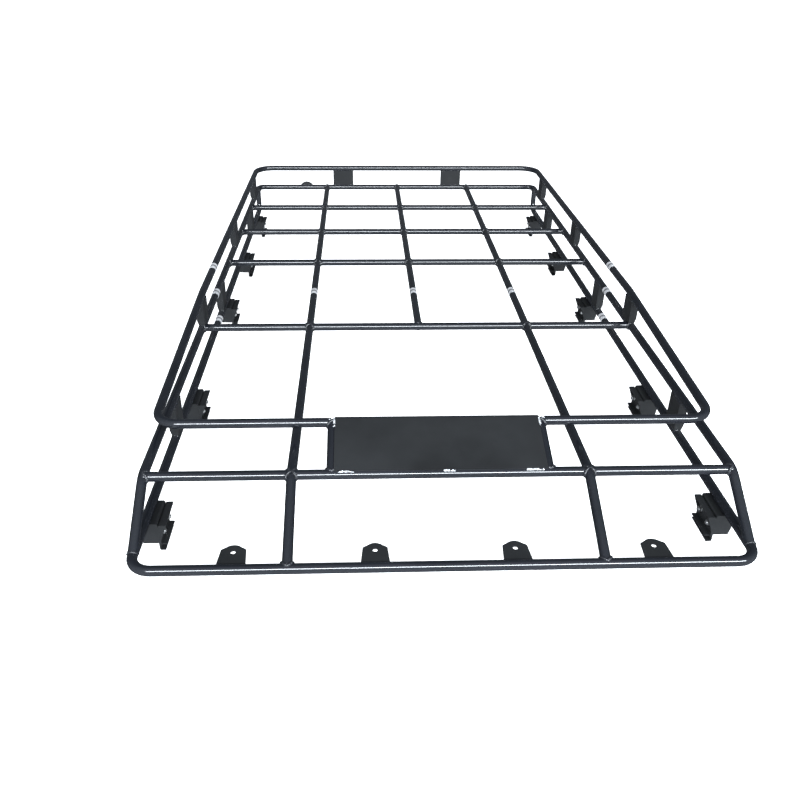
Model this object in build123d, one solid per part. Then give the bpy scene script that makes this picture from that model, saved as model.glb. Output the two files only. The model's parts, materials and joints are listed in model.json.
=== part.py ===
"""Two-section tubular steel roof rack for a long, boxy off-road vehicle.

Frame: X across the rack, +Y towards the back of the vehicle, +Z up.  The origin is on the
ground plane, under the middle of the rack, so the feet stand on Z = 0.  Lengths are in mm.
Positions along the rack are given as distances forward from the rear bars' centreline.
"""
from build123d import *
import math
import os

# ---- overall size -------------------------------------------------------------------
OVERALL_LENGTH = 2780.0      # rear bar centreline to nose bar centreline
HALF_WIDTH = 725.0           # middle of the rack to the side rails' centrelines
LOWER_Z = 95.0               # centreline height of the lower rail
FLOOR_Z = 203.0              # centreline height of the floor rail and the crossbars
TOP_Z = 302.0                # centreline height of the top rail
NOSE_TOP_Z = 255.0           # centreline height of the top rail's front bar

# ---- tube ---------------------------------------------------------------------------
TUBE_OD = 25.0
TUBE_WALL = 1.5
TUBE_R = TUBE_OD / 2
BORE_R = TUBE_R - TUBE_WALL
CUT = 1.0                    # how far a cutting solid runs past what it cuts

# ---- stations, measured forward from the rear bars ------------------------------------
SPLICE = 1438.0              # where the two sections meet
TOP_KINK = 1658.0            # where the top rail starts to slope down
TOP_FRONT = 2414.0           # front bar of the top rail
FLOOR_BEND = 2566.0          # where the floor bends down towards the nose
FLOOR_END = 2728.0           # where the floor rail lands on the lower rail
REAR_RISE = 40.0             # where the lower rail turns up to the floor rail
REAR_CROSSBARS = (367.0, 733.0, 1118.0)
MIDDLE_CROSSBAR = 1727.0
REAR_FEET = (160.0, 710.0, 1247.0)
FRONT_FEET = (1978.0, 2553.0)
REAR_UPPER_UPRIGHTS = (223.0, 917.0)
FRONT_UPPER_UPRIGHTS = (1701.0,)
REAR_LOWER_UPRIGHTS = (409.0, 1339.0)
FRONT_LOWER_UPRIGHTS = (2204.0,)
LENGTHWISE_X = 366.0         # the outer lengthwise floor tubes

# ---- bend radii, on the centreline ----------------------------------------------------
TOP_REAR_RADIUS = 85.0
TOP_FRONT_RADIUS = 62.0
TOP_KINK_RADIUS = 300.0
FLOOR_REAR_RADIUS = 30.0
FLOOR_BEND_RADIUS = 80.0
NOSE_RADIUS = 52.0
RISE_RADIUS = 40.0

# ---- joints between the sections -------------------------------------------------------
BARE_LENGTH = 21.0           # unpainted tube end on each side of the splice
BARE_R = TUBE_R + 0.6
SPLICE_GAP = 0.6             # daylight between the two butted ends
SPIGOT_R = BORE_R - 0.1
SPIGOT_WALL = 2.5
SPIGOT_REACH = 85.0          # how far the spigot runs into each section

# ---- folded sheet feet -----------------------------------------------------------------
SHEET = 3.0
FOOT_LENGTH = 96.0
FOOT_IN = 26.0               # web face, inboard of the rail centreline
FOOT_OUT = 19.0              # top flange edge, outboard of the rail centreline
LIP_DEPTH = 12.0
GUSSET_LIFT = 22.0           # gap between the ground and the gussets' lower edge
GUSSET_CHAMFER_IN = 4.0
GUSSET_CHAMFER_UP = 20.0
BEND_OUTER = 5.0
BEND_INNER = 2.0

# ---- gutter clamps and their fasteners --------------------------------------------------
CLAMP_LENGTH = 97.0
CLAMP_HOOK_LENGTH = 89.0
CLAMP_BOTTOM = 16.0
CLAMP_TOP = 78.0
CLAMP_FLANGE = 20.0
CLAMP_HOOK = 14.0
CLAMP_GUSSET_BOTTOM = 30.0
CLAMP_GUSSET_SHEET = 2.5
SLIDING_GAP = 0.2
BOLT_Z = 46.0
BOLT_PITCH = 56.0
BOLT_HOLE_R = 4.5
SLOT_LENGTH = 26.0
BOLT_R = 4.0
BOLT_HEAD = 5.3
BOLT_END = 3.0               # thread that shows past the nut
HEX_FLATS = 13.0
NUT_HEIGHT = 6.5
WASHER_R = 8.0
WASHER_THICK = 1.6

# ---- side uprights -----------------------------------------------------------------------
UPRIGHT_WIDTH = 72.0
UPRIGHT_SHEET = 2.5
UPRIGHT_LAP = 8.0            # how far an upright's end stands off a rail's centreline
UPRIGHT_TAPER_IN = 6.0
UPRIGHT_TAPER_UP = 24.0

# ---- front panel, rear plates and tabs ------------------------------------------------------
STRUT_X = 269.0
PANEL_HALF_WIDTH = 263.0
PANEL_SHEET = 2.0
PANEL_WRAP = 125.0           # degrees that the panel wraps round the top rail's front bar
BEND_BAR_DROP = 2.0          # the bend bar sits this far below the floor
REAR_PLATE_X = 281.0
REAR_PLATE_WIDTH = 104.0
REAR_PLATE_SHEET = 3.0
REAR_TAB_X = -473.0
REAR_TAB_R = 37.0
REAR_TAB_SINK = 20.0         # the tab's centre sits this far below the top of its bar
REAR_TAB_SHEET = 4.0
LIGHT_TABS = 4
LIGHT_TAB_PITCH = 330.0
LIGHT_TAB_SHEET = 4.0
LIGHT_TAB_BASE = 70.0
LIGHT_TAB_SHOULDERS = 59.0   # width across the shoulders
LIGHT_TAB_SHOULDER_REACH = 66.0
LIGHT_TAB_NECK = 32.0        # width where the shoulders run into the rounded end
LIGHT_TAB_NECK_REACH = 75.0
LIGHT_TAB_R = 24.5
LIGHT_TAB_REACH = 57.0       # nose bar centreline to the tab's hole
LIGHT_TAB_HOLE_R = 6.5

SIDES = {"left": -1, "right": 1}


def along(station):
    """Y of a station that is measured forward from the rear bars."""
    return OVERALL_LENGTH / 2 - station


def swept(points, radii, radius):
    """A round bar that follows straight runs joined by bends."""
    if radii:
        path = FilletPolyline(*points, radius=radii)
    else:
        path = Line(*points)
    profile = Plane(origin=path @ 0, z_dir=path % 0) * Circle(radius)
    return sweep(profile, path=path)


class Tube:
    """A round tube: the solid envelope that its neighbours are coped to, and the hollow tube."""

    def __init__(self, *points, radii=None):
        self.envelope = swept(points, radii, TUBE_R)
        self.hollow = self.envelope - swept(points, radii, BORE_R)

    def coped(self, *neighbours):
        """The hollow tube with its ends cut to fit the neighbouring tubes."""
        solid = self.hollow
        for other in neighbours:
            solid = solid - other.envelope
        return solid


def straight_bar(centre, direction, radius, length):
    """A round bar centred on a point."""
    return Plane(origin=centre, z_dir=direction) * Cylinder(radius, length)


def side_plate(outline, y_from, y_to):
    """A solid with an outline in (outboard, Z) on the right-hand rail, between two Y values."""
    plane = Plane(origin=(HALF_WIDTH, y_from, 0), x_dir=(1, 0, 0), z_dir=(0, -1, 0))
    return extrude(plane * make_face(outline), amount=y_from - y_to)


def on_side(solid, side):
    """The right-hand solid, or its mirror image on the left."""
    return solid if side > 0 else mirror(solid, about=Plane.YZ)


# ---- rails -----------------------------------------------------------------------------------
REAR_Y = along(0)
NOSE_Y = along(OVERALL_LENGTH)
REAR_END_Y = along(SPLICE) + SPLICE_GAP / 2 + BARE_LENGTH
FRONT_END_Y = along(SPLICE) - SPLICE_GAP / 2 - BARE_LENGTH


def hoop(end_y, bar_y, z, radius):
    """A U-shaped rail in one level: two sides and the bar across their ends."""
    return Tube((-HALF_WIDTH, end_y, z), (-HALF_WIDTH, bar_y, z), (HALF_WIDTH, bar_y, z),
                (HALF_WIDTH, end_y, z), radii=[radius, radius])


def top_rail_front():
    kink_y = along(TOP_KINK)
    front_y = along(TOP_FRONT)
    left = [(-HALF_WIDTH, FRONT_END_Y, TOP_Z), (-HALF_WIDTH, kink_y, TOP_Z),
            (-HALF_WIDTH, front_y, NOSE_TOP_Z)]
    right = [(-x, y, z) for x, y, z in reversed(left)]
    return Tube(*left, *right, radii=[TOP_KINK_RADIUS, TOP_FRONT_RADIUS,
                                      TOP_FRONT_RADIUS, TOP_KINK_RADIUS])


def floor_rail_front(side):
    x = side * HALF_WIDTH
    return Tube((x, FRONT_END_Y, FLOOR_Z), (x, along(FLOOR_BEND), FLOOR_Z),
                (x, along(FLOOR_END), LOWER_Z), radii=[FLOOR_BEND_RADIUS])


def lower_rail_rear(side):
    x = side * HALF_WIDTH
    rise_y = along(REAR_RISE)
    return Tube((x, REAR_END_Y, LOWER_Z), (x, rise_y, LOWER_Z), (x, rise_y, FLOOR_Z),
                radii=[RISE_RADIUS])


def lengthwise_front(x):
    return Tube((x, FRONT_END_Y, FLOOR_Z), (x, along(FLOOR_BEND), FLOOR_Z),
                (x, NOSE_Y, LOWER_Z), radii=[FLOOR_BEND_RADIUS])


def crossbar(station, z=FLOOR_Z):
    y = along(station)
    return Tube((-HALF_WIDTH, y, z), (HALF_WIDTH, y, z))


def parted(bar, station):
    """A crossbar in three lengths, with the slivers over the lengthwise tubes cut away."""
    for side in SIDES.values():
        crossing = Pos(side * LENGTHWISE_X, along(station), FLOOR_Z)
        bar = bar - crossing * Box(TUBE_R, 2 * TUBE_OD, 2 * TUBE_OD)
    return bar


def splice_points():
    """Axis points (x, z) of the nine joints between the two sections."""
    rails = [(side * HALF_WIDTH, z) for z in (LOWER_Z, FLOOR_Z, TOP_Z) for side in SIDES.values()]
    floor = [(x, FLOOR_Z) for x in (-LENGTHWISE_X, 0, LENGTHWISE_X)]
    return rails + floor


def bare_ends(inner_end, outer_end, bore):
    """The nine unpainted tube ends on one side of the splice."""
    middle = (inner_end + outer_end) / 2
    length = abs(outer_end - inner_end)
    ends = []
    for x, z in splice_points():
        ring = straight_bar((x, middle, z), (0, 1, 0), BARE_R, length)
        ends.append(ring - straight_bar((x, middle, z), (0, 1, 0), bore, length + CUT))
    return ends


def spigots():
    """The nine short tubes, fixed in the front section, that the rear section slides onto."""
    tubes = []
    for x, z in splice_points():
        centre = (x, along(SPLICE), z)
        length = 2 * SPIGOT_REACH
        tube = straight_bar(centre, (0, 1, 0), SPIGOT_R, length)
        tubes.append(tube - straight_bar(centre, (0, 1, 0), SPIGOT_R - SPIGOT_WALL, length + CUT))
    return tubes


# ---- uprights ----------------------------------------------------------------------------------
def upright(side, station, z_low, z_high, rails):
    """A folded channel, open outboard, whose ends are cut to the rails above and below."""
    y = along(station)
    bottom = z_low + UPRIGHT_LAP
    height = z_high - UPRIGHT_LAP - bottom
    block = Pos(HALF_WIDTH, y, bottom + height / 2) * Box(TUBE_OD, UPRIGHT_WIDTH, height)
    inside = Pos(HALF_WIDTH + UPRIGHT_SHEET, y, bottom + height / 2) * Box(
        TUBE_OD, UPRIGHT_WIDTH - 2 * UPRIGHT_SHEET, height + CUT)
    taper = Polyline((TUBE_R - UPRIGHT_TAPER_IN, bottom), (TUBE_R + CUT, bottom),
                     (TUBE_R + CUT, bottom + UPRIGHT_TAPER_UP), close=True)
    half = UPRIGHT_WIDTH / 2 + CUT
    channel = on_side(block - inside - side_plate(taper, y + half, y - half), side)
    for rail in rails:
        channel = channel - rail.envelope
    return channel


def uprights(side, stations, z_low, z_high, rails):
    return [upright(side, station, z_low, z_high, rails) for station in stations]


def top_rail_height(station):
    """Centreline height of the top rail at a station."""
    slope = (TOP_Z - NOSE_TOP_Z) / (TOP_FRONT - TOP_KINK)
    return TOP_Z - max(0, station - TOP_KINK) * slope


# ---- feet, clamps and fasteners ------------------------------------------------------------------
def foot(side, station):
    """A folded foot: flange under the rail, upright web, gutter lip and two end gussets."""
    y = along(station)
    half = FOOT_LENGTH / 2
    flange_z = LOWER_Z - TUBE_R
    web_back = SHEET - FOOT_IN
    profile = FilletPolyline(
        (FOOT_OUT, flange_z), (-FOOT_IN, flange_z), (-FOOT_IN, SHEET),
        (-FOOT_IN - LIP_DEPTH, SHEET), (-FOOT_IN - LIP_DEPTH, 0), (web_back, 0),
        (web_back, flange_z - SHEET), (FOOT_OUT, flange_z - SHEET),
        radius=[0, BEND_OUTER, BEND_INNER, 0, 0, BEND_OUTER, BEND_INNER, 0], close=True)
    body = side_plate(profile, y + half, y - half)
    gusset_z = GUSSET_LIFT
    gusset = Polyline(
        (web_back, flange_z - SHEET), (FOOT_OUT, flange_z - SHEET),
        (FOOT_OUT, gusset_z + GUSSET_CHAMFER_UP), (FOOT_OUT - GUSSET_CHAMFER_IN, gusset_z),
        (web_back, gusset_z), close=True)
    body += side_plate(gusset, y + half, y + half - SHEET)
    body += side_plate(gusset, y - half + SHEET, y - half)
    for bolt_y in bolt_stations(y):
        body -= straight_bar((HALF_WIDTH - FOOT_IN + SHEET / 2, bolt_y, BOLT_Z), (1, 0, 0),
                             BOLT_HOLE_R, SHEET + CUT)
    return on_side(body, side)


def bolt_stations(y):
    return (y - BOLT_PITCH / 2, y + BOLT_PITCH / 2)


def clamp(side, station):
    """A gutter clamp: slotted plate, top flange with end gussets and a hook along the bottom."""
    y = along(station)
    face = -FOOT_IN - SLIDING_GAP
    inner = face - SHEET
    angle = FilletPolyline(
        (face, CLAMP_BOTTOM), (face, CLAMP_TOP), (face - CLAMP_FLANGE, CLAMP_TOP),
        (face - CLAMP_FLANGE, CLAMP_TOP - SHEET), (inner, CLAMP_TOP - SHEET),
        (inner, CLAMP_BOTTOM), radius=[0, BEND_OUTER, 0, 0, BEND_INNER, 0], close=True)
    half = CLAMP_LENGTH / 2
    body = side_plate(angle, y + half, y - half)
    gusset = Polyline((inner, CLAMP_TOP - SHEET), (face - CLAMP_FLANGE, CLAMP_TOP - SHEET),
                      (inner, CLAMP_GUSSET_BOTTOM), close=True)
    body += side_plate(gusset, y + half, y + half - CLAMP_GUSSET_SHEET)
    body += side_plate(gusset, y - half + CLAMP_GUSSET_SHEET, y - half)
    hook = Polyline((face, CLAMP_BOTTOM), (face, CLAMP_BOTTOM + SHEET),
                    (inner - CLAMP_HOOK, CLAMP_BOTTOM + SHEET), (inner - CLAMP_HOOK, CLAMP_BOTTOM),
                    close=True)
    body += side_plate(hook, y + CLAMP_HOOK_LENGTH / 2, y - CLAMP_HOOK_LENGTH / 2)
    slot_plane = Plane(origin=(HALF_WIDTH + inner, 0, 0), x_dir=(0, 0, 1), z_dir=(1, 0, 0))
    for bolt_y in bolt_stations(y):
        slot = slot_plane * Pos(BOLT_Z, -bolt_y) * SlotOverall(SLOT_LENGTH, 2 * BOLT_HOLE_R)
        body -= extrude(slot, amount=2 * SHEET, both=True)
    return on_side(body, side)


def hexagon(across_flats):
    return RegularPolygon(across_flats / 2, 6, major_radius=False)


def bolt_set(side, y):
    """A hexagon bolt through the foot's web, with the washer and nut that hold the clamp."""
    head_face = HALF_WIDTH + SHEET - FOOT_IN
    clamp_face = HALF_WIDTH - FOOT_IN - SHEET - 2 * SLIDING_GAP
    nut_face = clamp_face - WASHER_THICK
    end = nut_face - NUT_HEIGHT - BOLT_END

    def towards_middle(x):
        return Plane(origin=(x, y, BOLT_Z), z_dir=(-1, 0, 0))

    head = extrude(towards_middle(head_face + BOLT_HEAD) * hexagon(HEX_FLATS), BOLT_HEAD)
    bolt = head + extrude(towards_middle(head_face) * Circle(BOLT_R), head_face - end)
    washer = extrude(towards_middle(clamp_face) * (Circle(WASHER_R) - Circle(BOLT_R)), WASHER_THICK)
    nut = extrude(towards_middle(nut_face) * (hexagon(HEX_FLATS) - Circle(BOLT_R)), NUT_HEIGHT)
    return [on_side(piece, side) for piece in (bolt, washer, nut)]


def clamp_fasteners(stations):
    """All the bolts, washers and nuts of one section."""
    pieces = []
    for side in SIDES.values():
        for station in stations:
            for y in bolt_stations(along(station)):
                pieces += bolt_set(side, y)
    return pieces


# ---- panel, plates and tabs --------------------------------------------------------------------------
def panel_ends():
    """Centres (y, z) of the two bars that carry the panel."""
    top = Vector(along(TOP_FRONT), NOSE_TOP_Z)
    bottom = Vector(along(FLOOR_BEND), FLOOR_Z - BEND_BAR_DROP)
    return top, bottom


def panel():
    """A sheet that wraps over the top rail's front bar and slopes down to the bend bar."""
    top, bottom = panel_ends()
    slope = (bottom - top).normalized()
    normal = Vector(slope.Y, -slope.X)
    start = math.degrees(math.atan2(normal.Y, normal.X))

    def round_top(radius):
        return CenterArc(top, radius, start, -PANEL_WRAP)

    inner = round_top(TUBE_R)
    outer = round_top(TUBE_R + PANEL_SHEET)
    inner_low = bottom + normal * TUBE_R
    outer_low = bottom + normal * (TUBE_R + PANEL_SHEET)
    outline = [inner, outer, Line(inner @ 1, outer @ 1), Line(inner @ 0, inner_low),
               Line(inner_low, outer_low), Line(outer_low, outer @ 0)]
    plane = Plane(origin=(0, 0, 0), x_dir=(0, 1, 0), z_dir=(1, 0, 0))
    return extrude(plane * make_face(outline), amount=PANEL_HALF_WIDTH, both=True)


def panel_strut(side):
    top, bottom = panel_ends()
    x = side * STRUT_X
    return Tube((x, top.X, top.Y), (x, bottom.X, bottom.Y))


def rear_plate(side, rails):
    """A flat plate between the rear bars of the top and floor rails."""
    height = TOP_Z - FLOOR_Z
    plate = Pos(side * REAR_PLATE_X, REAR_Y, FLOOR_Z + height / 2) * Box(
        REAR_PLATE_WIDTH, REAR_PLATE_SHEET, height)
    for rail in rails:
        plate = plate - rail.envelope
    return plate


def rear_half_round_tab(rail):
    """A small half-round tab that stands on the rear bar of the floor rail."""
    plane = Plane(origin=(REAR_TAB_X, REAR_Y, FLOOR_Z + TUBE_R - REAR_TAB_SINK), x_dir=(1, 0, 0),
                  z_dir=(0, -1, 0))
    disc = extrude(plane * Circle(REAR_TAB_R), amount=REAR_TAB_SHEET / 2, both=True)
    width = 2 * REAR_TAB_R + CUT
    below = Pos(REAR_TAB_X, REAR_Y, FLOOR_Z - width / 2) * Box(width, REAR_TAB_SHEET + CUT, width)
    return disc - below - rail.envelope


def light_tab(x, rail):
    """A tab with sloping shoulders, a rounded end and one hole, on the back of the nose bar."""
    plane = Plane(origin=(x, NOSE_Y, LOWER_Z - LIGHT_TAB_SHEET / 2), z_dir=(0, 0, 1))
    right = [(LIGHT_TAB_BASE / 2, 0), (LIGHT_TAB_SHOULDERS / 2, LIGHT_TAB_SHOULDER_REACH),
             (LIGHT_TAB_NECK / 2, LIGHT_TAB_NECK_REACH)]
    left = [(-across, reach) for across, reach in reversed(right)]
    blade = make_face(Polyline(*right, *left, close=True))
    eye = Pos(0, LIGHT_TAB_REACH)
    outline = blade + eye * Circle(LIGHT_TAB_R) - eye * Circle(LIGHT_TAB_HOLE_R)
    return extrude(plane * outline, amount=LIGHT_TAB_SHEET) - rail.envelope


def light_tabs(rail):
    middle = (LIGHT_TABS - 1) / 2
    return [light_tab((number - middle) * LIGHT_TAB_PITCH, rail) for number in range(LIGHT_TABS)]


# ---- assembly ------------------------------------------------------------------------------------------
def build():
    """Every node of the rack, by name."""
    top_rear = hoop(REAR_END_Y, REAR_Y, TOP_Z, TOP_REAR_RADIUS)
    top_front = top_rail_front()
    floor_rear = hoop(REAR_END_Y, REAR_Y, FLOOR_Z, FLOOR_REAR_RADIUS)
    nose_hoop = hoop(FRONT_END_Y, NOSE_Y, LOWER_Z, NOSE_RADIUS)
    floor_front = {name: floor_rail_front(side) for name, side in SIDES.items()}
    lower_rear = {name: lower_rail_rear(side) for name, side in SIDES.items()}
    middle_bar = crossbar(MIDDLE_CROSSBAR)
    bend_bar = crossbar(FLOOR_BEND, FLOOR_Z - BEND_BAR_DROP)

    nodes = {
        "top_rail_rear": top_rear.hollow,
        "top_rail_front": top_front.hollow,
        "floor_rail_rear": floor_rear.hollow,
        "nose_rail": nose_hoop.hollow,
    }
    for name in SIDES:
        nodes[f"floor_rail_front_{name}"] = floor_front[name].coped(nose_hoop)
        nodes[f"lower_rail_rear_{name}"] = lower_rear[name].coped(floor_rear)

    lengthwise_x = {"left": -LENGTHWISE_X, "centre": 0, "right": LENGTHWISE_X}
    rear_lengthwise = {name: Tube((x, REAR_END_Y, FLOOR_Z), (x, REAR_Y, FLOOR_Z))
                       for name, x in lengthwise_x.items()}
    front_lengthwise = {name: lengthwise_front(side * LENGTHWISE_X) for name, side in SIDES.items()}
    for name, tube in rear_lengthwise.items():
        nodes[f"lengthwise_rear_{name}"] = tube.coped(floor_rear)
    for name, tube in front_lengthwise.items():
        nodes[f"lengthwise_front_{name}"] = tube.coped(nose_hoop)
    short_tube = Tube((0, FRONT_END_Y, FLOOR_Z), (0, along(MIDDLE_CROSSBAR), FLOOR_Z))
    nodes["lengthwise_front_centre"] = short_tube.coped(middle_bar)

    rear_bars = [crossbar(station) for station in REAR_CROSSBARS]
    for number, bar in enumerate(rear_bars, start=1):
        nodes[f"crossbar_rear_{number}"] = bar.coped(floor_rear, *rear_lengthwise.values())
    front_floor = list(floor_front.values()) + list(front_lengthwise.values())
    nodes["crossbar_middle"] = middle_bar.coped(*front_floor)
    nodes["crossbar_bend"] = parted(bend_bar.coped(*front_floor), FLOOR_BEND)

    for name, side in SIDES.items():
        nodes[f"upper_uprights_rear_{name}"] = uprights(
            side, REAR_UPPER_UPRIGHTS, FLOOR_Z, TOP_Z, [top_rear, floor_rear])
        nodes[f"upper_upright_front_{name}"] = uprights(
            side, FRONT_UPPER_UPRIGHTS, FLOOR_Z, top_rail_height(FRONT_UPPER_UPRIGHTS[0]),
            [top_front, floor_front[name], middle_bar])
        nodes[f"lower_uprights_rear_{name}"] = uprights(
            side, REAR_LOWER_UPRIGHTS, LOWER_Z, FLOOR_Z,
            [floor_rear, lower_rear[name], *rear_bars])
        nodes[f"lower_upright_front_{name}"] = uprights(
            side, FRONT_LOWER_UPRIGHTS, LOWER_Z, FLOOR_Z, [floor_front[name], nose_hoop])
        for number, station in enumerate(REAR_FEET + FRONT_FEET, start=1):
            nodes[f"foot_{number}_{name}"] = foot(side, station)
            nodes[f"gutter_clamp_{number}_{name}"] = clamp(side, station)

    nodes["panel_struts"] = [panel_strut(side).coped(top_front, bend_bar)
                             for side in SIDES.values()]
    nodes["front_panel"] = panel()
    nodes["rear_plates"] = [rear_plate(side, [top_rear, floor_rear]) for side in SIDES.values()]
    nodes["rear_half_round_tab"] = rear_half_round_tab(floor_rear)
    nodes["light_tabs"] = light_tabs(nose_hoop)
    splice_y = along(SPLICE)
    nodes["bare_ends_rear"] = bare_ends(splice_y + SPLICE_GAP / 2, REAR_END_Y, BORE_R)
    nodes["bare_ends_front"] = bare_ends(splice_y - SPLICE_GAP / 2, FRONT_END_Y, SPIGOT_R)
    nodes["joint_spigots"] = spigots()
    nodes["clamp_fasteners_rear"] = clamp_fasteners(REAR_FEET)
    nodes["clamp_fasteners_front"] = clamp_fasteners(FRONT_FEET)
    return nodes


def as_shape(pieces):
    """One shape for a node that may be a single solid or a group of solids."""
    if isinstance(pieces, list):
        return Compound(children=[solid for piece in pieces for solid in piece.solids()])
    return Compound(children=pieces.solids()) if len(pieces.solids()) > 1 else pieces.solid()


os.makedirs("parts", exist_ok=True)
for node, pieces in build().items():
    export_step(as_shape(pieces), f"parts/{node}.step")
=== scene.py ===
"""Looks of the roof rack: powder coat, bare steel tube ends, zinc fasteners and weld beads.

Everything is in metres, in the row frame: X across the rack, +Y to the rear, +Z up.
"""
import json
import math
import random

import bpy
from mathutils import Matrix, Vector


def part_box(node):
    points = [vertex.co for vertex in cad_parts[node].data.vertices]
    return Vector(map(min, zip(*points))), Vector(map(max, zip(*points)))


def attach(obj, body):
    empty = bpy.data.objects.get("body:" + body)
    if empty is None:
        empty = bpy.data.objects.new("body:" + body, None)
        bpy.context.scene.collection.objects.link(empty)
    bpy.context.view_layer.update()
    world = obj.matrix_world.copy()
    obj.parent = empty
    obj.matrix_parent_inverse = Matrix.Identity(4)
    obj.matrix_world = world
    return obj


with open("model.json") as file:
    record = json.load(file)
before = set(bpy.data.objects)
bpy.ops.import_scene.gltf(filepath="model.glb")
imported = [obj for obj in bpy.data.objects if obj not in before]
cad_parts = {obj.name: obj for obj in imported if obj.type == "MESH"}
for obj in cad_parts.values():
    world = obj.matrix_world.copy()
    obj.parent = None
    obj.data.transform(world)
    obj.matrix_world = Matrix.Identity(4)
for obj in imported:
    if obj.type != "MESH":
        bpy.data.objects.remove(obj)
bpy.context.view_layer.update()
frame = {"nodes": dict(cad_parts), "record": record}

SIDES = ("left", "right")
RANDOM = random.Random(510)


# ---- places, read from the CAD nodes -----------------------------------------------------
def centre(node):
    first, last = (Vector(corner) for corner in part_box(node))
    return (first + last) / 2


def low(node):
    return Vector(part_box(node)[0])


def high(node):
    return Vector(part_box(node)[1])


TUBE_R = (high("crossbar_middle").z - low("crossbar_middle").z) / 2
SIDE_X = high("nose_rail").x - TUBE_R
LOWER_Z = low("nose_rail").z + TUBE_R
FLOOR_Z = centre("crossbar_middle").z
TOP_Z = high("top_rail_rear").z - TUBE_R
REAR_Y = high("top_rail_rear").y - TUBE_R
NOSE_Y = low("nose_rail").y + TUBE_R
TOP_FRONT_Y = low("top_rail_front").y + TUBE_R
TOP_FRONT_Z = low("top_rail_front").z + TUBE_R
JOINT_Y = low("bare_ends_rear").y
BEND_Y = centre("crossbar_bend").y
BEND_Z = centre("crossbar_bend").z
UPRIGHT_WIDTH = high("upper_upright_front_left").y - low("upper_upright_front_left").y
UPRIGHT_LAP = low("upper_upright_front_left").z - FLOOR_Z
PLATE_WIDTH = 0.104       # each of the two plates between the rear bars
LANDING_SETBACK = 0.0038  # from a front floor rail's lowest point to its weld on the nose rail
SMALL_BEAD = 0.0022


# ---- materials ---------------------------------------------------------------------------
class Shader:
    """A node material under construction, with short calls for the nodes that it needs."""

    def __init__(self, name, **settings):
        self.material = bpy.data.materials.new(name)
        self.material.use_nodes = True
        self.tree = self.material.node_tree
        self.surface = self.tree.nodes["Principled BSDF"]
        for socket, value in settings.items():
            self.surface.inputs[socket.replace("_", " ")].default_value = value

    def link(self, source, target):
        self.tree.links.new(source, target)

    def place(self, stretch=(1, 1, 1)):
        """Object coordinates, stretched along the axes."""
        coordinates = self.tree.nodes.new("ShaderNodeTexCoord")
        mapping = self.tree.nodes.new("ShaderNodeMapping")
        mapping.inputs["Scale"].default_value = stretch
        self.link(coordinates.outputs["Object"], mapping.inputs["Vector"])
        return mapping.outputs["Vector"]

    def noise(self, scale, detail=3.0, rough=0.5, stretch=(1, 1, 1)):
        node = self.tree.nodes.new("ShaderNodeTexNoise")
        node.inputs["Scale"].default_value = scale
        node.inputs["Detail"].default_value = detail
        node.inputs["Roughness"].default_value = rough
        self.link(self.place(stretch), node.inputs["Vector"])
        return node.outputs["Fac"]

    def cells(self, scale):
        node = self.tree.nodes.new("ShaderNodeTexVoronoi")
        node.inputs["Scale"].default_value = scale
        self.link(self.place(), node.inputs["Vector"])
        return node.outputs["Distance"]

    def distance_along(self, y):
        """Distance along Y from the plane at `y`."""
        parts = self.tree.nodes.new("ShaderNodeSeparateXYZ")
        self.link(self.place(), parts.inputs["Vector"])
        away = self.tree.nodes.new("ShaderNodeMath")
        away.operation = "SUBTRACT"
        away.inputs[1].default_value = y
        self.link(parts.outputs["Y"], away.inputs[0])
        size = self.tree.nodes.new("ShaderNodeMath")
        size.operation = "ABSOLUTE"
        self.link(away.outputs["Value"], size.inputs[0])
        return size.outputs["Value"]

    def product(self, one, two):
        node = self.tree.nodes.new("ShaderNodeVectorMath")
        node.operation = "MULTIPLY"
        self.link(one, node.inputs[0])
        self.link(two, node.inputs[1])
        return node.outputs["Vector"]

    def remap(self, value, start, end, new_start, new_end):
        node = self.tree.nodes.new("ShaderNodeMapRange")
        limits = {"From Min": start, "From Max": end, "To Min": new_start, "To Max": new_end}
        for socket, number in limits.items():
            node.inputs[socket].default_value = number
        self.link(value, node.inputs["Value"])
        return node.outputs["Result"]

    def colours(self, value, *stops):
        """Colours along a ramp; each stop is (position, (red, green, blue))."""
        node = self.tree.nodes.new("ShaderNodeValToRGB")
        ramp = node.color_ramp
        while len(ramp.elements) < len(stops):
            ramp.elements.new(0.5)
        for element, (position, colour) in zip(ramp.elements, stops):
            element.position = position
            element.color = (*colour, 1)
        self.link(value, node.inputs["Fac"])
        return node.outputs["Color"]

    def bumps(self, *layers):
        """Bump layers, one on another; each is (height, strength, distance)."""
        normal = None
        for height, strength, distance in layers:
            node = self.tree.nodes.new("ShaderNodeBump")
            node.inputs["Strength"].default_value = strength
            node.inputs["Distance"].default_value = distance
            self.link(height, node.inputs["Height"])
            if normal:
                self.link(normal, node.inputs["Normal"])
            normal = node.outputs["Normal"]
        self.link(normal, self.surface.inputs["Normal"])

    def base(self, colour):
        self.link(colour, self.surface.inputs["Base Color"])

    def roughness(self, value):
        self.link(value, self.surface.inputs["Roughness"])


def powder_coat(name, dark, light, smooth, dull, coat, shine=0.5, peel=0.004):
    """Powder coat: slow changes of tone and gloss, fine specks and orange peel."""
    shader = Shader(name, Coat_Weight=coat, Coat_Roughness=0.08, Specular_IOR_Level=shine)
    slow = shader.noise(7.0, 4.0)
    shader.base(shader.colours(slow, (0.3, dark), (0.7, light)))
    shader.roughness(shader.remap(shader.noise(9.0, 3.0, 0.5), 0.3, 0.7, smooth, dull))
    shader.bumps((shader.noise(520.0, 2.0), peel, 0.0004), (shader.cells(1900.0), peel / 2, 0.0002))
    return shader.material


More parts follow.
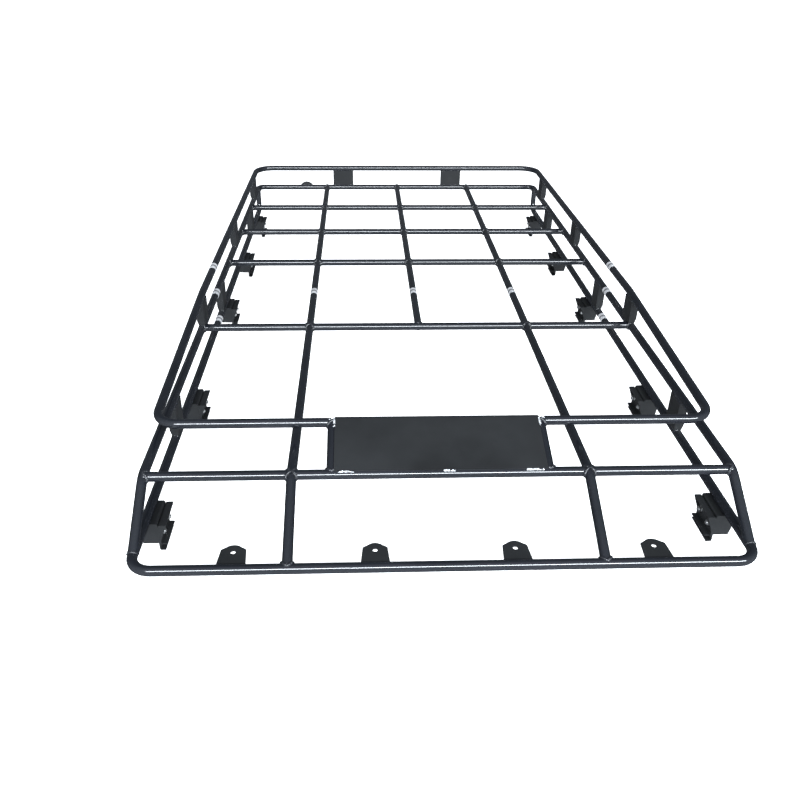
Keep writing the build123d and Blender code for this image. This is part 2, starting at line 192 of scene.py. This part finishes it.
def bright_weld():
    """Weld metal that shines through a thin, broken coat."""
    shader = Shader("bright_weld", Metallic=0.6, Coat_Weight=1.0, Coat_Roughness=0.05)
    patches = shader.noise(140.0, 4.0, 0.6)
    shader.base(shader.colours(patches, (0.42, (0.02, 0.022, 0.026)), (0.50, (0.86, 0.88, 0.90))))
    shader.roughness(shader.remap(shader.noise(300.0), 0.3, 0.7, 0.10, 0.30))
    shader.bumps((shader.noise(700.0, 3.0), 0.5, 0.0006))
    return shader.material


def bare_steel():
    """Bright drawn tube with fine rings of brushing, a few dull patches and a dark ring of painted shade at
    the joint between the two tube ends.
    """
    shader = Shader("bare_steel", Metallic=0.55)
    brushing = shader.noise(60.0, 4.0, 0.6, (0.3, 24.0, 0.3))
    steel = shader.colours(brushing, (0.25, (0.60, 0.61, 0.63)), (0.75, (0.92, 0.92, 0.94)))
    # Painted shade: the steel darkens to 0.16 within 3 mm of the joint plane and fades back by 6 mm. It
    # stands in for the shade in the seam between the two tube ends.
    ring = shader.colours(shader.distance_along(JOINT_Y), (0.0030, (0.16, 0.16, 0.17)), (0.0060, (1, 1, 1)))
    shader.base(shader.product(steel, ring))
    shader.roughness(shader.remap(shader.noise(45.0, 3.0), 0.3, 0.7, 0.24, 0.46))
    shader.bumps((brushing, 0.25, 0.0003))
    return shader.material


def zinc_plate():
    """Zinc plate with a faint spangle."""
    shader = Shader("zinc_plate", Metallic=1.0)
    spangle = shader.cells(260.0)
    shader.base(shader.colours(spangle, (0.1, (0.56, 0.57, 0.58)), (0.8, (0.74, 0.74, 0.72))))
    shader.roughness(shader.remap(shader.noise(120.0), 0.3, 0.7, 0.26, 0.44))
    shader.bumps((shader.noise(900.0), 0.12, 0.0003))
    return shader.material


def studio_floor():
    """A pale seamless floor, lit a little from within so that it stays even."""
    shader = Shader("studio_floor", Emission_Strength=0.98)
    paper = shader.noise(3.0, 5.0)
    tone = shader.colours(paper, (0.3, (0.86, 0.865, 0.87)), (0.7, (0.90, 0.90, 0.90)))
    shader.base(tone)
    shader.link(tone, shader.surface.inputs["Emission Color"])
    shader.roughness(shader.remap(shader.noise(24.0), 0.3, 0.7, 0.75, 0.9))
    return shader.material


MATERIALS = {
    "black_tube": powder_coat("black_tube", (0.004, 0.005, 0.007), (0.008, 0.009, 0.012), 0.11, 0.15, 0.4),
    "black_sheet": powder_coat("black_sheet", (0.008, 0.0085, 0.009), (0.014, 0.015, 0.016), 0.36, 0.50, 0.0,
                               shine=0.3, peel=0.05),
    "bare_steel": bare_steel(),
    "zinc": zinc_plate(),
}
WELD = powder_coat("coated_weld", (0.006, 0.007, 0.009), (0.014, 0.015, 0.018), 0.16, 0.28, 0.5)
BRIGHT_WELD = bright_weld()

for part in frame["record"]["subparts"]:
    mesh = frame["nodes"][part["node"]].data
    mesh.materials.clear()
    mesh.materials.append(MATERIALS[part["material_slot"]])


# ---- weld beads --------------------------------------------------------------------------
RIPPLE = 0.0034          # spacing of a bead's ripples
RING = 8                 # points round a bead's section


class Beads:
    """All the weld beads of one piece, gathered in one mesh."""

    def __init__(self):
        self.vertices = []
        self.faces = []

    def run(self, points, radius, closed=False):
        """A rippled bead along a line of points."""
        count = len(points)
        first = len(self.vertices)
        travelled = 0.0
        for index, point in enumerate(points):
            before = points[index - 1] if closed or index else point
            after = points[(index + 1) % count] if closed or index + 1 < count else point
            if index:
                travelled += (point - points[index - 1]).length
            forward = (after - before).normalized()
            aside = forward.orthogonal().normalized()
            third = forward.cross(aside)
            ripple = 1 + 0.16 * math.sin(2 * math.pi * travelled / RIPPLE) + RANDOM.uniform(-0.07, 0.07)
            end = 1.0 if closed or 0 < index < count - 1 else 0.25
            for step in range(RING):
                angle = 2 * math.pi * step / RING
                offset = aside * math.cos(angle) + third * math.sin(angle)
                self.vertices.append(point + offset * (radius * ripple * end))
        self.skin(first, count, points, closed)

    def skin(self, first, count, points, closed):
        """Quads between the rings, each turned to match the ring before it."""
        pairs = [(index, (index + 1) % count) for index in range(count if closed else count - 1)]
        for here, there in pairs:
            one = first + here * RING
            two = first + there * RING
            start = self.vertices[one] - points[here]
            turn = max(range(RING), key=lambda step: start.dot(self.vertices[two + step] - points[there]))
            for step in range(RING):
                after = (step + 1) % RING
                self.faces.append((one + step, one + after,
                                   two + (turn + after) % RING, two + (turn + step) % RING))
        if not closed:
            last = first + (count - 1) * RING
            self.faces.append(tuple(first + step for step in reversed(range(RING))))
            self.faces.append(tuple(last + step for step in range(RING)))

    def seam(self, start, end, radius=SMALL_BEAD):
        """A straight bead between two points."""
        start, end = Vector(start), Vector(end)
        steps = max(2, round((end - start).length / (RIPPLE / 4)))
        self.run([start.lerp(end, step / steps) for step in range(steps + 1)], radius)

    def arc(self, middle, first, second, start, end, size, radius=0.0018):
        """A bead round part of a circle, from one angle to another, in the plane of two directions."""
        steps = max(3, round(size * abs(end - start) / (RIPPLE / 4)))
        points = []
        for step in range(steps + 1):
            angle = start + (end - start) * step / steps
            reach, rise = size * math.cos(angle), size * math.sin(angle)
            points.append(Vector(middle) + first * reach + second * rise)
        self.run(points, radius)

    def saddle(self, place, bar, tube, radius=0.0040):
        """The bead round a bar, in direction `bar`, that ends on a tube in direction `tube`."""
        place, bar, tube = Vector(place), Vector(bar).normalized(), Vector(tube).normalized()
        across = (tube - bar * tube.dot(bar)).normalized()
        third = bar.cross(across)
        flat_bar = bar - tube * bar.dot(tube)
        steps = 88
        points = []
        for step in range(steps):
            angle = 2 * math.pi * step / steps
            ring = (across * math.cos(angle) + third * math.sin(angle)) * TUBE_R
            flat_ring = ring - tube * ring.dot(tube)
            a = flat_bar.dot(flat_bar)
            b = flat_bar.dot(flat_ring)
            c = flat_ring.dot(flat_ring) - TUBE_R ** 2
            reach = (math.sqrt(max(b * b - a * c, 0)) - b) / a
            points.append(place + ring + bar * (math.hypot(reach, 0.002) + 0.0006))
        self.run(points, radius, closed=True)

    def finish(self, name, body, material):
        mesh = bpy.data.meshes.new(name)
        mesh.from_pydata(self.vertices, [], self.faces)
        mesh.shade_smooth()
        mesh.materials.append(material)
        piece = bpy.data.objects.new(name, mesh)
        bpy.context.scene.collection.objects.link(piece)
        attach(piece, body)
        return piece


X = Vector((1, 0, 0))
Y = Vector((0, 1, 0))
Z = Vector((0, 0, 1))


def crossbar_beads(beads, y, z, tubes, rail_x):
    """Both sides of each lengthwise tube that a crossbar meets, and the rails at its ends."""
    for x in tubes:
        for way in (X, -X):
            beads.saddle((x, y, z), way, Y)
    beads.saddle((-rail_x, y, z), X, Y)
    beads.saddle((rail_x, y, z), -X, Y)


def upright_beads(beads, side, y, z_low, z_high):
    """Seams where an upright's web and flanges meet the rails below and above it."""
    out = -1 if side == "left" else 1
    half = UPRIGHT_WIDTH / 2
    for z, way in ((z_low, 1), (z_high, -1)):
        web_x = out * (SIDE_X - TUBE_R + 0.0014)
        web_z = z + way * (UPRIGHT_LAP - 0.0002)
        beads.seam((web_x, y - half, web_z), (web_x, y + half, web_z))
        for edge in (-half, half):
            beads.arc((out * SIDE_X, y + edge, z), X * -out, Z * way, 0.75, 1.7, TUBE_R)


def foot_beads(beads, side, number):
    """Seams along both sides of the rail, on top of a foot."""
    node = f"foot_{number}_{side}"
    out = -1 if side == "left" else 1
    y_low, y_high = low(node).y + 0.006, high(node).y - 0.014
    for offset in (-0.0055, 0.0055):
        x = out * SIDE_X + offset
        beads.seam((x, y_low, high(node).z + 0.0012), (x, y_high, high(node).z + 0.0012), 0.0026)


def outline_beads(beads, x_low, x_high, y, z):
    """The two seams of a thin plate that stands on a bar."""
    for offset in (-0.0022, 0.0022):
        beads.seam((x_low, y + offset, z), (x_high, y + offset, z), 0.0018)


def rear_beads():
    beads = Beads()
    tubes = [centre(f"lengthwise_rear_{name}").x for name in ("left", "centre", "right")]
    for number in (1, 2, 3):
        crossbar_beads(beads, centre(f"crossbar_rear_{number}").y, FLOOR_Z, tubes, SIDE_X)
    for x in tubes:
        beads.saddle((x, REAR_Y, FLOOR_Z), -Y, X)
    for side in SIDES:
        out = -1 if side == "left" else 1
        rise_y = high(f"lower_rail_rear_{side}").y - TUBE_R
        beads.saddle((out * SIDE_X, rise_y, FLOOR_Z), -Z, Y)
        for group, z_low, z_high in (("upper", FLOOR_Z, TOP_Z), ("lower", LOWER_Z, FLOOR_Z)):
            node = f"{group}_uprights_rear_{side}"
            for y in (low(node).y + UPRIGHT_WIDTH / 2, high(node).y - UPRIGHT_WIDTH / 2):
                upright_beads(beads, side, y, z_low, z_high)
        for number in (1, 2, 3):
            foot_beads(beads, side, number)
    plate_edge = high("rear_plates").x
    for x in (-plate_edge, plate_edge - PLATE_WIDTH):
        for z in (FLOOR_Z + TUBE_R, TOP_Z - TUBE_R):
            outline_beads(beads, x, x + PLATE_WIDTH, REAR_Y, z)
    outline_beads(beads, low("rear_half_round_tab").x + 0.002, high("rear_half_round_tab").x - 0.002,
                  REAR_Y, FLOOR_Z + TUBE_R)
    return beads.finish("weld_beads_rear", "rear_section", WELD)


def front_beads():
    beads = Beads()
    tubes = [centre(f"lengthwise_front_{side}").x for side in SIDES]
    crossbar_beads(beads, centre("crossbar_middle").y, FLOOR_Z, tubes, SIDE_X)
    crossbar_beads(beads, BEND_Y, BEND_Z, tubes, SIDE_X)
    beads.saddle((0, centre("crossbar_middle").y, FLOOR_Z), Y, X)
    fall = Vector((0, BEND_Y - NOSE_Y, FLOOR_Z - LOWER_Z))
    for x in tubes:
        beads.saddle((x, NOSE_Y, LOWER_Z), fall, X)
    for side in SIDES:
        out = -1 if side == "left" else 1
        landing_y = low(f"floor_rail_front_{side}").y + LANDING_SETBACK
        rail = Vector((0, BEND_Y - landing_y, FLOOR_Z - LOWER_Z))
        beads.saddle((out * SIDE_X, landing_y, LOWER_Z), rail, Y, SMALL_BEAD)
        upright = centre(f"upper_upright_front_{side}")
        upright_beads(beads, side, upright.y, FLOOR_Z, high(f"upper_upright_front_{side}").z + UPRIGHT_LAP)
        upright = centre(f"lower_upright_front_{side}")
        upright_beads(beads, side, upright.y, LOWER_Z, FLOOR_Z)
        for number in (4, 5):
            foot_beads(beads, side, number)
        strut_x = out * (high("panel_struts").x - TUBE_R)
        slope = Vector((0, TOP_FRONT_Y - BEND_Y, TOP_FRONT_Z - BEND_Z))
        beads.saddle((strut_x, TOP_FRONT_Y, TOP_FRONT_Z), -slope, X)
        beads.saddle((strut_x, BEND_Y, BEND_Z), slope, X)
    for mount in frame["record"]["mounts"]:
        if mount["kind"] == "bolt_pattern":
            for x in (-mount["dims"]["spacing_x_mm"] / 2000, mount["dims"]["spacing_x_mm"] / 2000):
                for offset in (-0.003, 0.003):
                    y = NOSE_Y + TUBE_R - 0.0004
                    beads.seam((x - 0.031, y, LOWER_Z + offset), (x + 0.031, y, LOWER_Z + offset), 0.0019)
    return beads.finish("weld_beads_front", "front_section", WELD)


def panel_beads():
    """Short, uneven welds at the panel's top corners and along its lower edge."""
    beads = Beads()
    edge = high("front_panel").x
    slope = Vector((0, BEND_Y - TOP_FRONT_Y, BEND_Z - TOP_FRONT_Z)).normalized()
    normal = Vector((0, slope.z, -slope.y))
    lower = Vector((0, BEND_Y, BEND_Z)) + normal * (TUBE_R + 0.001) + slope * 0.0015
    for x, length in ((-edge + 0.030, 0.040), (0.020, 0.030), (edge - 0.032, 0.044)):
        beads.seam(lower + X * (x - length / 2), lower + X * (x + length / 2), 0.0030)
    upper = Vector((0, TOP_FRONT_Y, TOP_FRONT_Z)) + normal * (TUBE_R + 0.001)
    for out in (-1, 1):
        corner = upper + X * (out * (edge + 0.001))
        beads.seam(corner, corner + slope * 0.026, 0.0030)
        beads.seam(corner + X * (out * 0.014), corner - slope * 0.004, 0.0026)
    return beads.finish("panel_tack_welds", "front_section", BRIGHT_WELD)


rear_beads()
front_beads()
panel_beads()


# ---- floor, light and camera ---------------------------------------------------------------
DARK_UNTIL, BRIGHT_FROM = -0.4, 0.7      # cosine of the angle from BRIGHTEST
DARK_LEVEL, BRIGHT_LEVEL = 0.12, 0.85
BRIGHTEST = (0, -0.996, 0.087)           # ahead of the nose and 5 degrees up
CAMERA_PLACE = (-0.1917, -2.740, 1.3336)
CAMERA_PITCH, CAMERA_YAW, CAMERA_ROLL = -29.704, 2.336, 0.649
CAMERA_LENS = 35.32
CAMERA_SHIFT = (0.0124, -0.0142)
FLOOR_HALF = 40.0


def add_floor():
    corners = [(x * FLOOR_HALF, y * FLOOR_HALF, 0) for x, y in ((-1, -1), (1, -1), (1, 1), (-1, 1))]
    mesh = bpy.data.meshes.new("floor")
    mesh.from_pydata(corners, [], [(0, 1, 2, 3)])
    mesh.materials.append(studio_floor())
    floor = bpy.data.objects.new("floor", mesh)
    floor.visible_glossy = False
    bpy.context.scene.collection.objects.link(floor)


def area_light(name, place, target, width, depth, power, colour, shines=True):
    """A rectangular light; one that doesn't shine lights surfaces but has no reflection in them."""
    light = bpy.data.lights.new(name, "AREA")
    light.shape = "RECTANGLE"
    light.size = width
    light.size_y = depth
    light.energy = power
    light.color = colour
    lamp = bpy.data.objects.new(name, light)
    lamp.location = place
    lamp.visible_glossy = shines
    lamp.rotation_euler = (Vector(target) - Vector(place)).to_track_quat("-Z", "Y").to_euler()
    bpy.context.scene.collection.objects.link(lamp)


def add_world():
    """A dim room that gets brighter towards the front."""
    world = bpy.data.worlds.new("studio")
    world.use_nodes = True
    nodes, links = world.node_tree.nodes, world.node_tree.links
    direction = nodes.new("ShaderNodeTexCoord")
    facing = nodes.new("ShaderNodeVectorMath")
    facing.operation = "DOT_PRODUCT"
    facing.inputs[1].default_value = BRIGHTEST
    spread = nodes.new("ShaderNodeMapRange")
    spread.inputs["From Min"].default_value = DARK_UNTIL
    spread.inputs["From Max"].default_value = BRIGHT_FROM
    ramp = nodes.new("ShaderNodeValToRGB")
    for element, (position, level) in zip(ramp.color_ramp.elements, ((0.0, DARK_LEVEL), (1.0, BRIGHT_LEVEL))):
        element.position = position
        element.color = (level * 0.86, level * 0.94, level * 1.04, 1)
    links.new(direction.outputs["Generated"], facing.inputs[0])
    links.new(facing.outputs["Value"], spread.inputs["Value"])
    links.new(spread.outputs["Result"], ramp.inputs["Fac"])
    links.new(ramp.outputs["Color"], nodes["Background"].inputs["Color"])
    bpy.context.scene.world = world


def add_camera():
    """The camera stands in front of the nose and looks down along the rack."""
    pitch, yaw, roll = (math.radians(angle) for angle in (CAMERA_PITCH, CAMERA_YAW, CAMERA_ROLL))
    forward = Vector((math.sin(yaw) * math.cos(pitch), math.cos(yaw) * math.cos(pitch), math.sin(pitch)))
    right = Vector((math.cos(yaw), -math.sin(yaw), 0))
    up = right.cross(forward)
    rolled_right = right * math.cos(roll) + up * math.sin(roll)
    rolled_up = up * math.cos(roll) - right * math.sin(roll)
    lens = bpy.data.cameras.new("camera")
    lens.sensor_width = 36
    lens.lens = CAMERA_LENS
    lens.shift_x, lens.shift_y = CAMERA_SHIFT
    lens.clip_end = 200
    camera = bpy.data.objects.new("camera", lens)
    turn = Matrix((rolled_right, rolled_up, -forward)).transposed().to_4x4()
    camera.matrix_world = Matrix.Translation(CAMERA_PLACE) @ turn
    bpy.context.scene.collection.objects.link(camera)
    bpy.context.scene.camera = camera


add_floor()
add_world()
add_camera()
area_light("front_band", (1.2, -6.6, 3.9), (0, 0, 0.3), 11.0, 1.0, 1700, (0.88, 0.94, 1.0))
area_light("overhead", (0, -0.4, 4.2), (0, 0, 0), 6.0, 6.0, 120, (1.0, 1.0, 1.0), shines=False)
bpy.context.scene.view_settings.view_transform = "Standard"
